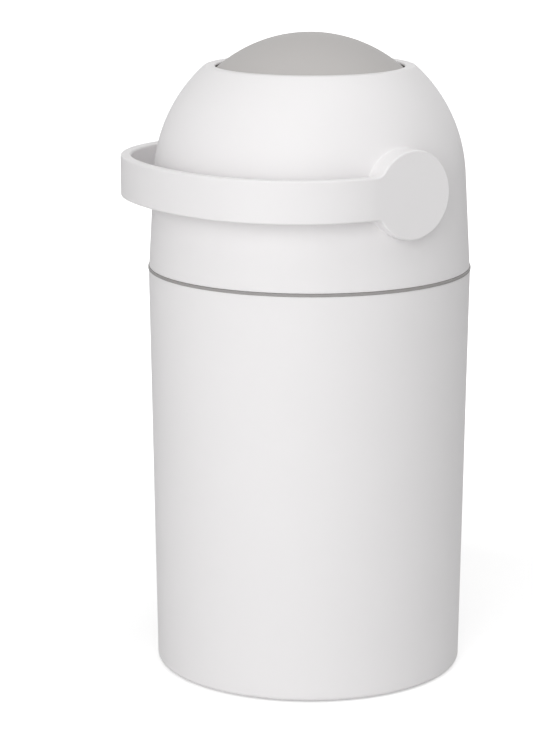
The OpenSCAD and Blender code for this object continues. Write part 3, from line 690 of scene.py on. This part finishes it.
place(joinPieces("framePosts", postParts), "head", "white_plastic", "lid_shell")

wiper = dict(inner=beadX, outer=spanOf("window_wiper")[1][0], drumGap=0.35, lidGap=0.15)
sweep = drumRadius + wiper["drumGap"]
underLip = beadZ - bead - wiper["lidGap"]
underShoulder = shoulder + wiper["lidGap"]


def angleOn(centreX, radius, x):
    return math.degrees(math.acos((x - centreX) / radius))


wiperCorners = arc(0, axleZ, sweep, angleOn(0, sweep, wiper["inner"]),
                   angleOn(0, sweep, wiper["outer"]), 8)
wiperCorners += arc(shoulderX, shoulderZ, underShoulder,
                    360 - angleOn(shoulderX, underShoulder, wiper["outer"]),
                    besideShoulder(underShoulder, underLip), 14)
wiperCorners += [(wiper["inner"], underLip, crisp)]
place(turn("windowWiper", roundCorners(wiperCorners), rubber, longest=6),
      "head", "dark_rubber", "window_wiper")
print("stage: lid made")


gasketLow, gasketHigh = spanOf("head_gasket")
gasket = dict(inner=gasketHigh[0] - 5.0, outer=gasketHigh[0], low=gasketLow[2], high=gasketHigh[2],
              rim=0.5)
place(turn("headGasket", cornersOf(
    gasket, "inner low rim", "outer low rim", "outer high rim", "inner high rim",
), rubber), "head", "dark_rubber", "head_gasket")

sealLow, sealHigh = spanOf("drum_seal")
seal = dict(low=sealLow[2], high=sealHigh[2], outer=sealHigh[0], gap=0.35, rounding=0.4,
            lipRounding=0.1, screwGap=3.05)


def besideDrum(z):
    radius = drumRadius + seal["gap"]
    return math.sqrt(radius ** 2 - (axleZ - z) ** 2)


place(turn("drumSeal", roundCorners([
    (besideDrum(seal["low"]), seal["low"], seal["lipRounding"]),
    (seal["outer"], seal["low"], seal["rounding"]), (seal["outer"], seal["high"], seal["rounding"]),
    (besideDrum(seal["high"]), seal["high"], seal["lipRounding"]),
]), rubber), "head", "dark_rubber", "drum_seal")


# construction pieces whose shape is right get their finish and smooth rounds
for name, material in (
        ("lid_frame", whiteInside), ("seal_clamp", whiteInside), ("right_bush", acetal),
        ("left_bush", acetal), ("catch_spring", steel), ("right_trunnion", acetal),
        ("left_trunnion", acetal)):
    piece = nodes[name]
    piece.data.materials.clear()
    piece.data.materials.append(material)
    piece.data.shade_smooth()
    modify(piece, "WELD", merge_threshold=0.004 * mm)
    modify(piece, "EDGE_SPLIT", split_angle=math.radians(32))


# one kind of screw in three sizes

# all but point and sides are shares of the head's radius or height, the shank's radius or the length
screwShape = dict(
    crossLong=0.62, crossWide=0.17, crossFloor=0.75, middle=0.35, floor=0.42, top=0.97,
    head=((0.80, 0.97), (0.92, 0.86), (0.98, 0.62), (1.0, 0.25), (0.98, 0.0)),
    root=0.80, rootAt=0.35, threaded=0.9, tip=0.35, point=0.0001, sides=32)


def screwMesh(name, size, length):
    # a pan head with a cross recess, on a shank with a rolled thread
    head, headHeight, shank = size["head"], size["headHeight"], size["shank"]
    angles = [math.tau * k / screwShape["sides"] for k in range(screwShape["sides"])]
    rings = []

    def crossAt(angle):
        wide, long = sorted((abs(math.cos(angle)), abs(math.sin(angle))))
        return min(screwShape["crossLong"] / long, screwShape["crossWide"] / max(wide, 0.01))

    def addRing(radius, z, shareAt=lambda angle: 1.0):
        rings.append([(*polar(radius * shareAt(angle), angle), z) for angle in angles])

    addRing(screwShape["point"], -headHeight * screwShape["middle"])
    addRing(head * screwShape["crossFloor"], -headHeight * screwShape["floor"], crossAt)
    addRing(head, -headHeight * screwShape["top"], crossAt)
    for out, up in screwShape["head"]:
        addRing(head * out, -headHeight * up)
    addRing(shank, 0)
    turns = max(3, int(length / size["pitch"]))
    pitch = length * screwShape["threaded"] / turns
    for i in range(turns):
        addRing(shank * screwShape["root"], pitch * (i + screwShape["rootAt"]))
        addRing(shank, pitch * (i + 1))
    addRing(shank * screwShape["tip"], length)
    addRing(screwShape["point"], length)
    return sharpenAbove(closeSeams(ringMesh(name, rings, steel), True), 40)


def screwTreeOf():
    # puts one screw at even steps round the bin, or on one line where the count is one
    tree, take, give = startTree(
        "screwRing", "GeometryNodeTree",
        {"Screw": "Geometry", "Count": "Int", "Ring Radius": "Float", "Seat Height": "Float",
         "Start Angle": "Float", "Tip Down": "Float", "Finish": "Material"},
        {"Screws": "Geometry"})
    line = addNode(tree, "GeometryNodeMeshLine", {"Count": take["Count"]}).outputs[0]
    index = addNode(tree, "GeometryNodeInputIndex").outputs[0]
    turned = maths(tree, "DIVIDE", times(tree, index, math.tau), take["Count"])
    angle = maths(tree, "ADD", take["Start Angle"], turned)
    spot = aroundZ(tree, take["Ring Radius"], angle, take["Seat Height"])
    ring = addNode(tree, "GeometryNodeSetPosition", {"Geometry": line, "Position": spot}).outputs[0]
    spin = addNode(tree, "ShaderNodeCombineXYZ", {
        "X": times(tree, take["Tip Down"], math.pi),
        "Z": addNode(tree, "FunctionNodeRandomValue", {
            2: 0.0, 3: math.tau, "Seed": 7}, data_type="FLOAT").outputs[1]}).outputs[0]
    placed = addNode(tree, "GeometryNodeInstanceOnPoints", {
        "Points": ring, "Instance": take["Screw"], "Rotation": spin}).outputs[0]
    return endTree(tree, placed, take["Finish"], give.inputs["Screws"])


screwTree = screwTreeOf()


def screwRing(name, size, length, count, radius, height, start, tipDown=0.0):
    ring = screwMesh(name, size, length)
    useTree(ring, screwTree, {
        "Count": count, "Ring Radius": radius * mm, "Seat Height": height * mm,
        "Start Angle": math.radians(start), "Tip Down": tipDown, "Finish": steel})
    return bakeModifiers(ring)


drum = dict(flat=drumHigh[0], flatWall=3.0, square=24.3, seamRounding=0.5, lipRounding=0.9,
            mouth=whole["windowRadius"] - 2.75, mouthRounding=0.4, screwRadius=104.0, screws=4,
            screwTurn=45, post=4.6, postTop=20.0, well=4.4, wellTop=-12.0, keeper=7.0, keeperLow=84.0,
            keeperRoot=0.8, squareFrom=105.0, squareTo=130.0, outerShort=1.0, innerShort=1.5,
            lipShort=1.2)
for name, body, node, values in (
        ("frameScrews", "head", "frame_screws", dict(
            size=largeScrew, length=17.0, count=posts["count"], radius=posts["radius"],
            height=gasket["high"], start=0)),
        ("clampScrews", "head", "clamp_screws", dict(
            size=smallScrew, length=11.2, count=8, radius=seal["outer"] + seal["screwGap"],
            height=spanOf("seal_clamp")[1][2], start=22.5, tipDown=1.0)),
        ("catchScrew", "head", "catch_screw", dict(
            size=smallScrew, length=5.8, count=1, radius=posts["radius"],
            height=spanOf("catch_screw")[0][2] + smallScrew["headHeight"], start=270)),
        ("drumScrews", "drum", "drum_screws", dict(
            size=largeScrew, length=26.0, count=drum["screws"], radius=drum["screwRadius"],
            height=axleZ + drum["wellTop"], start=drum["screwTurn"]))):
    place(screwRing(name, **values), body, "steel", node)

hubScrewLength = 14.85
hubScrewSeat = spanOf("hub_screws")[1][0] - hubScrewLength
hubScrews = [turnAlongX(screwMesh("hubScrews", hubScrew, hubScrewLength),
                        side * hubScrewSeat, 0, axleZ, side * 90) for side in (-1, 1)]
place(joinPieces("hubScrews", hubScrews), "drum", "steel", "hub_screws")
print("stage: inside of the head made")


outer, inner = drumRadius, drumRadius - whole["drumWall"]


def flatten(piece):
    # the drum's sides are flat where the trunnions sit
    for vertex in piece.data.vertices:
        reach = math.hypot(*(vertex.co - Vector((0, 0, axleZ * mm)))) / mm
        limit = (drum["flat"] - (0 if reach > (outer + inner) / 2 else drum["flatWall"])) * mm
        vertex.co.x = max(-limit, min(limit, vertex.co.x))
    return piece


def drumPosts(low, high, radius):
    parts, out = [], drum["screwRadius"]
    for k in range(drum["screws"]):
        spin = Matrix.Rotation(math.radians(drum["screwTurn"] + 360 / drum["screws"] * k), 4, "Z")
        post = rod("post", (out, 0, axleZ + low), (out, 0, axleZ + high), radius, drumGrey)
        post.data.transform(spin)
        parts.append(post)
    return parts


def squareCuts():
    half, cuts = drum["square"] / 2, []
    for side in (-1, 1):
        low, high = sorted((side * drum["squareFrom"], side * drum["squareTo"]))
        cuts.append(block("cut", (low, -half, axleZ - half), (high, half, axleZ + half), drumGrey))
    return cuts


# the drum's arcs stop a little short of its corners, in degrees, so that those can be rounded
outerShort, innerShort, lipShort = drum["outerShort"], drum["innerShort"], drum["lipShort"]
domeCorners = [(0, axleZ + outer, 0)] + arc(0, axleZ, outer, 89, outerShort, 56) + [
    (outer, axleZ, drum["seamRounding"]), (inner, axleZ, soft)]
domeCorners += arc(0, axleZ, inner, innerShort, 89, 40) + [(0, axleZ + inner, 0)]
drumDome = flatten(turn("drumDome", roundCorners(domeCorners, 3), drumGrey, closed=False, segments=240))
carve(drumDome, squareCuts())
keeper = rod("keeper", (0, 0, axleZ + drum["keeperLow"]), (0, 0, axleZ + inner + drum["keeperRoot"]),
             drum["keeper"], drumGrey)
drumDome = joinPieces("drumDome", [evenNormals(drumDome), keeper]
                      + drumPosts(0, drum["postTop"], drum["post"]))
place(drumDome, "drum", "drum_grey", "drum_dome")

mouthOuter = -angleOn(0, outer, drum["mouth"])
mouthInner = -angleOn(0, inner, drum["mouth"])
baseCorners = [(outer, axleZ, drum["seamRounding"])]
baseCorners += arc(0, axleZ, outer, -outerShort, mouthOuter + lipShort, 36)
baseCorners += [(drum["mouth"], axleZ + outer * math.sin(math.radians(mouthOuter)), drum["lipRounding"]),
                (drum["mouth"], axleZ + inner * math.sin(math.radians(mouthInner)), drum["mouthRounding"])]
baseCorners += arc(0, axleZ, inner, mouthInner + lipShort, -innerShort, 30) + [(inner, axleZ, soft)]
drumBase = flatten(turn("drumBase", roundCorners(baseCorners, 4), drumGrey, segments=240))
carve(drumBase, squareCuts() + drumPosts(-outer, drum["wellTop"], drum["well"]))
place(evenNormals(drumBase), "drum", "drum_grey", "drum_base")

cup = dict(mouth=drum["mouth"] - play, end=70.0, endUp=drum["keeperLow"], corner=22.0, wall=2.2,
           flangeOut=spanOf("drum_cup")[1][0], flangeRadius=inner - play, flangeWall=2.6,
           flangeRoot=0.6, rootRounding=1.2)


def cupSide(z, inset):
    # the cup's side leans in from the mouth to its closed end
    share = (z + outer) / (cup["endUp"] - cup["corner"] + outer)
    return cup["mouth"] + (cup["end"] - cup["mouth"]) * share - inset


def cupMeets(radius, inset):
    z = -math.sqrt(radius ** 2 - cup["mouth"] ** 2)
    for _ in range(12):
        z = -math.sqrt(radius ** 2 - cupSide(z, inset) ** 2)
    return cupSide(z, inset), z


cornerX, cornerZ = cup["end"] - cup["corner"], cup["endUp"] - cup["corner"]
flangeIn = cup["flangeRadius"] - cup["flangeWall"]
lipOut, lipIn = cupMeets(outer, 0), cupMeets(outer, cup["wall"])
upper, lower = cupMeets(flangeIn, 0), cupMeets(cup["flangeRadius"], 0)
cupCorners = [(0, cup["endUp"], 0)] + arc(cornerX, cornerZ, cup["corner"], 90, 0, 18)
cupCorners += [(*upper, cup["rootRounding"])]
cupCorners += arc(0, 0, flangeIn, -angleOn(0, flangeIn, upper[0]) + lipShort,
                  -angleOn(0, flangeIn, cup["flangeOut"]), 6)
cupCorners += arc(0, 0, cup["flangeRadius"], -angleOn(0, cup["flangeRadius"], cup["flangeOut"]),
                  -angleOn(0, cup["flangeRadius"], lower[0] + cup["flangeRoot"]), 6)
cupCorners += [(*lower, soft), (*lipOut, drum["lipRounding"]), (*lipIn, drum["lipRounding"])]
cupCorners += arc(cornerX, cornerZ, cup["corner"] - cup["wall"], 0, 90, 18)
cupCorners += [(0, cup["endUp"] - cup["wall"], 0)]
cupCorners = [(x, axleZ + z, rounding) for x, z, rounding in cupCorners]
place(turn("drumCup", roundCorners(cupCorners), whiteInside, closed=False),
      "drum", "white_plastic", "drum_cup")
print("stage: drum made")


handleLow, handleHigh = spanOf("handle")
handle = dict(face=handleHigh[0], back=handleHigh[0] - 9.0, front=-handleLow[1], bend=115.0,
              frontRadius=215.0, plateLap=0.5, bandHalf=17.4, hub=hubRadius, fillet=10.0,
              outerRounding=1.7, bandBackRounding=2.2, hubBackRounding=0.35, roundSteps=6,
              hubSteps=96, filletSteps=12, bendSteps=60, frontSteps=32, keySocket=7.65,
              keyDepth=3.55, cutRoom=0.5, pilot=2.55, pilotEnd=handleHigh[0] - 2.0)
thick = handle["face"] - handle["back"]
frontY = handle["frontRadius"] - handle["front"]
bendX = handle["face"] - handle["bend"]
bendY = frontY - math.sqrt((handle["frontRadius"] - handle["bend"]) ** 2 - bendX ** 2)
filletZ = handle["bandHalf"] + handle["fillet"]
filletY = -math.sqrt((handle["hub"] + handle["fillet"]) ** 2 - filletZ ** 2)
filletEnd = math.degrees(math.atan2(-filletZ, -filletY))
hubStart = 180 + filletEnd
# the hubs' plates end a little in front of the fillets, where the band takes over
plateY = filletY - handle["plateLap"]


def wallPoint(y, depth):
    # a place on the wall whose face is at y, moved in by depth
    if y >= bendY:
        return handle["face"] - depth, y
    angle = math.asin((y - bendY) / handle["bend"])
    reach = handle["bend"] - depth
    return bendX + reach * math.cos(angle), bendY + reach * math.sin(angle)


def sideOutline():
    # each place on the side's outline as a centre, a direction, a radius and how far it is hub
    places = [((plateY, 0), (0, 1), handle["bandHalf"], 0.0)]
    for k in range(handle["filletSteps"] + 1):
        t = k / handle["filletSteps"]
        angle = math.radians(-90 + (filletEnd + 90) * t)
        places.append(((filletY, filletZ), (-math.cos(angle), -math.sin(angle)), -handle["fillet"], t))
    for k in range(1, handle["hubSteps"]):
        angle = math.radians(hubStart - 2 * hubStart * k / handle["hubSteps"])
        places.append(((0, 0), (math.cos(angle), math.sin(angle)), handle["hub"], 1.0))
    lower = [((y, -z), (a, -b), radius, hub)
             for (y, z), (a, b), radius, hub in places[:handle["filletSteps"] + 2]]
    return places + lower[::-1]


def ringShape(hubShare):
    # depth from the face and inset from the outline, from the face's rim round to the back's
    front = handle["outerRounding"]
    back = handle["bandBackRounding"] + (handle["hubBackRounding"] - handle["bandBackRounding"]) * hubShare
    shape = []
    for k in range(handle["roundSteps"] + 1):
        t = math.pi / 2 * k / handle["roundSteps"]
        shape.append((front * (1 - math.cos(t)), front * (1 - math.sin(t))))
    for k in range(handle["roundSteps"] + 1):
        t = math.pi / 2 * k / handle["roundSteps"]
        shape.append((thick - back * (1 - math.sin(t)), back * (1 - math.cos(t))))
    return shape


def stationAt(centreX, centreY, radius, degrees):
    # a place on the band's face, with the direction that it looks in
    a, b = polar(1, math.radians(degrees))
    return centreX + radius * a, centreY + radius * b, a, b


def hubPlate(side):
    # a hub with its fillets, on the wall's two faces and round its rim
    outline, points = sideOutline(), []
    for (cy, cz), (dy, dz), radius, hub in outline:
        for depth, inset in ringShape(hub):
            x, y = wallPoint(cy + dy * (radius - inset), depth)
            points.append((side * x, y, axleZ + cz + dz * (radius - inset)))
    size = len(points) // len(outline)
    faces = [(i, i + size, i + size + 1, i + 1) for i in range(len(points) - size) if (i + 1) % size]
    faces.append(tuple(range(0, len(points), size)))
    faces.append(tuple(range(size - 1, len(points), size))[::-1])
    return meshPiece("hubPlate", points, faces, white)


def band():
    # the wall that is carried round the front from one hub's plate to the other's
    plateTurn = math.degrees(math.asin((plateY - bendY) / handle["bend"]))
    bendTurn = math.degrees(math.atan2(bendY - frontY, bendX))
    bendSteps, frontSteps = handle["bendSteps"], handle["frontSteps"]
    bendStep = (bendTurn - plateTurn) / bendSteps
    frontStep = (-180 - 2 * bendTurn) / frontSteps
    stations = [stationAt(bendX, bendY, handle["bend"], plateTurn + bendStep * k)
                for k in range(bendSteps + 1)]
    stations += [stationAt(0, frontY, handle["frontRadius"], bendTurn + frontStep * k)
                 for k in range(1, frontSteps)]
    stations += [(-x, y, -a, b) for x, y, a, b in stations[bendSteps::-1]]
    loops, shape = [], ringShape(0.0)
    for x, y, a, b in stations:
        top, low = ([(x - a * depth, y - b * depth, axleZ + up * (handle["bandHalf"] - inset))
                     for depth, inset in shape] for up in (1, -1))
        loops.append(top + low[::-1])
    return ringMesh("band", loops, white)


handlePiece = closeSeams(joinPieces("handle", [hubPlate(-1), hubPlate(1), band()]), True)
half, clear = handle["keySocket"], handle["back"] - handle["cutRoom"]
cuts = []
for side in (-1, 1):
    deep = handle["back"] + handle["keyDepth"]
    near, far = sorted((side * clear, side * deep))
    cuts.append(block("cut", (near, -half, axleZ - half), (far, half, axleZ + half), white))
    cuts.append(rod("cut", (side * clear, 0, axleZ), (side * handle["pilotEnd"], 0, axleZ),
                    handle["pilot"], white))
handlePiece = evenNormals(carve(handlePiece, cuts))
lugs = [rod("lug", (side * (handle["back"] - stop["reach"]), stop["radius"], axleZ),
            (side * (handle["back"] + stop["root"]), stop["radius"], axleZ), stop["lug"], white)
        for side in (-1, 1)]
place(joinPieces("handle", [handlePiece] + lugs), "drum", "white_plastic", "handle")
print("stage: handle made")


# the pale studio, its lamps and the camera

studio = dict(floorSize=60.0, floorTone=0.81, floorShade=0.79, mottleScale=3.0, glowNear=0.47,
              glowFar=1.0, nearRadius=0.35, farRadius=1.0, skyFill=0.41, target=(0.0, 0.0, 0.27),
              lampFar=2.8, lampSize=2.2)
view = dict(lens=131.35, sensor=36.0, place=(1.8183, -1.3173, 0.756), pitch=12.63, turn=55.0)

floorFinish = bpy.data.materials.new("paleFloor")
tree = blankTree(floorFinish)
where = addNode(tree, "ShaderNodeTexCoord").outputs["Object"]
mottle = addNode(tree, "ShaderNodeTexNoise", {
    "Vector": where, "Scale": studio["mottleScale"], "Detail": 3.0}).outputs[0]
tone = mixColours(tree, mottle, (*[studio["floorTone"]] * 3, 1), (*[studio["floorShade"]] * 3, 1))
matt = addNode(tree, "ShaderNodeBsdfDiffuse", {"Color": tone}).outputs[0]
# the floor glows for the camera alone, and more with its distance from the bin
distance = addNode(tree, "ShaderNodeVectorMath", {0: where}, operation="LENGTH").outputs["Value"]
spread = remap(tree, distance, studio["nearRadius"], studio["farRadius"],
               studio["glowNear"], studio["glowFar"])
seen = addNode(tree, "ShaderNodeLightPath").outputs["Is Camera Ray"]
glow = addNode(tree, "ShaderNodeEmission", {"Strength": times(tree, seen, spread)}).outputs[0]
both = addNode(tree, "ShaderNodeAddShader", {0: matt, 1: glow}).outputs[0]
addNode(tree, "ShaderNodeOutputMaterial", {"Surface": both})

size = studio["floorSize"] / mm / 2
corners = [(-size, -size, 0), (size, -size, 0), (size, size, 0), (-size, size, 0)]
meshPiece("studioFloor", corners, [(0, 1, 2, 3)], floorFinish)

world = bpy.data.worlds.new("whiteStudio")
scene.world = world
tree = blankTree(world)
# camera, mirror and glass rays see a plain white studio, and the rest a dimmer fill
path = addNode(tree, "ShaderNodeLightPath").outputs
seesWhite = maths(tree, "MAXIMUM", path["Is Camera Ray"],
                  maths(tree, "MAXIMUM", path["Is Glossy Ray"], path["Is Transmission Ray"]))
sky = addNode(tree, "ShaderNodeBackground", {
    "Color": (1, 1, 1, 1), "Strength": remap(tree, seesWhite, toLow=studio["skyFill"])}).outputs[0]
addNode(tree, "ShaderNodeOutputWorld", {"Surface": sky})

lamps = {
    "keyLamp": dict(turn=-12, rise=22, power=26.9),
    "sideLamp": dict(turn=-35, rise=10, power=13.1),
    "topLamp": dict(turn=0, rise=78, power=13.3),
    "rightLamp": dict(turn=100, rise=55, power=9.3),
}
target = Vector(studio["target"])
for name, lamp in lamps.items():
    # each lamp's turn is measured from the camera's side of the bin
    angle = math.radians(view["turn"] - 90 + lamp["turn"])
    rise = math.radians(lamp["rise"])
    spot = target + studio["lampFar"] * Vector((
        math.cos(angle) * math.cos(rise), math.sin(angle) * math.cos(rise), math.sin(rise)))
    light = bpy.data.lights.new(name, "AREA")
    light.shape = "DISK"
    light.size = studio["lampSize"]
    light.energy = lamp["power"]
    made = bpy.data.objects.new(name, light)
    made.location = spot
    made.rotation_euler = (target - spot).to_track_quat("-Z", "Y").to_euler()
    scene.collection.objects.link(made)

cameraData = bpy.data.cameras.new("studioCamera")
cameraData.lens = view["lens"]
cameraData.sensor_width = view["sensor"]
camera = bpy.data.objects.new("studioCamera", cameraData)
camera.location = view["place"]
camera.rotation_euler = (math.radians(90 - view["pitch"]), 0, math.radians(view["turn"]))
scene.collection.objects.link(camera)
scene.camera = camera
scene.view_settings.view_transform = "Standard"
print("stage: studio ready")
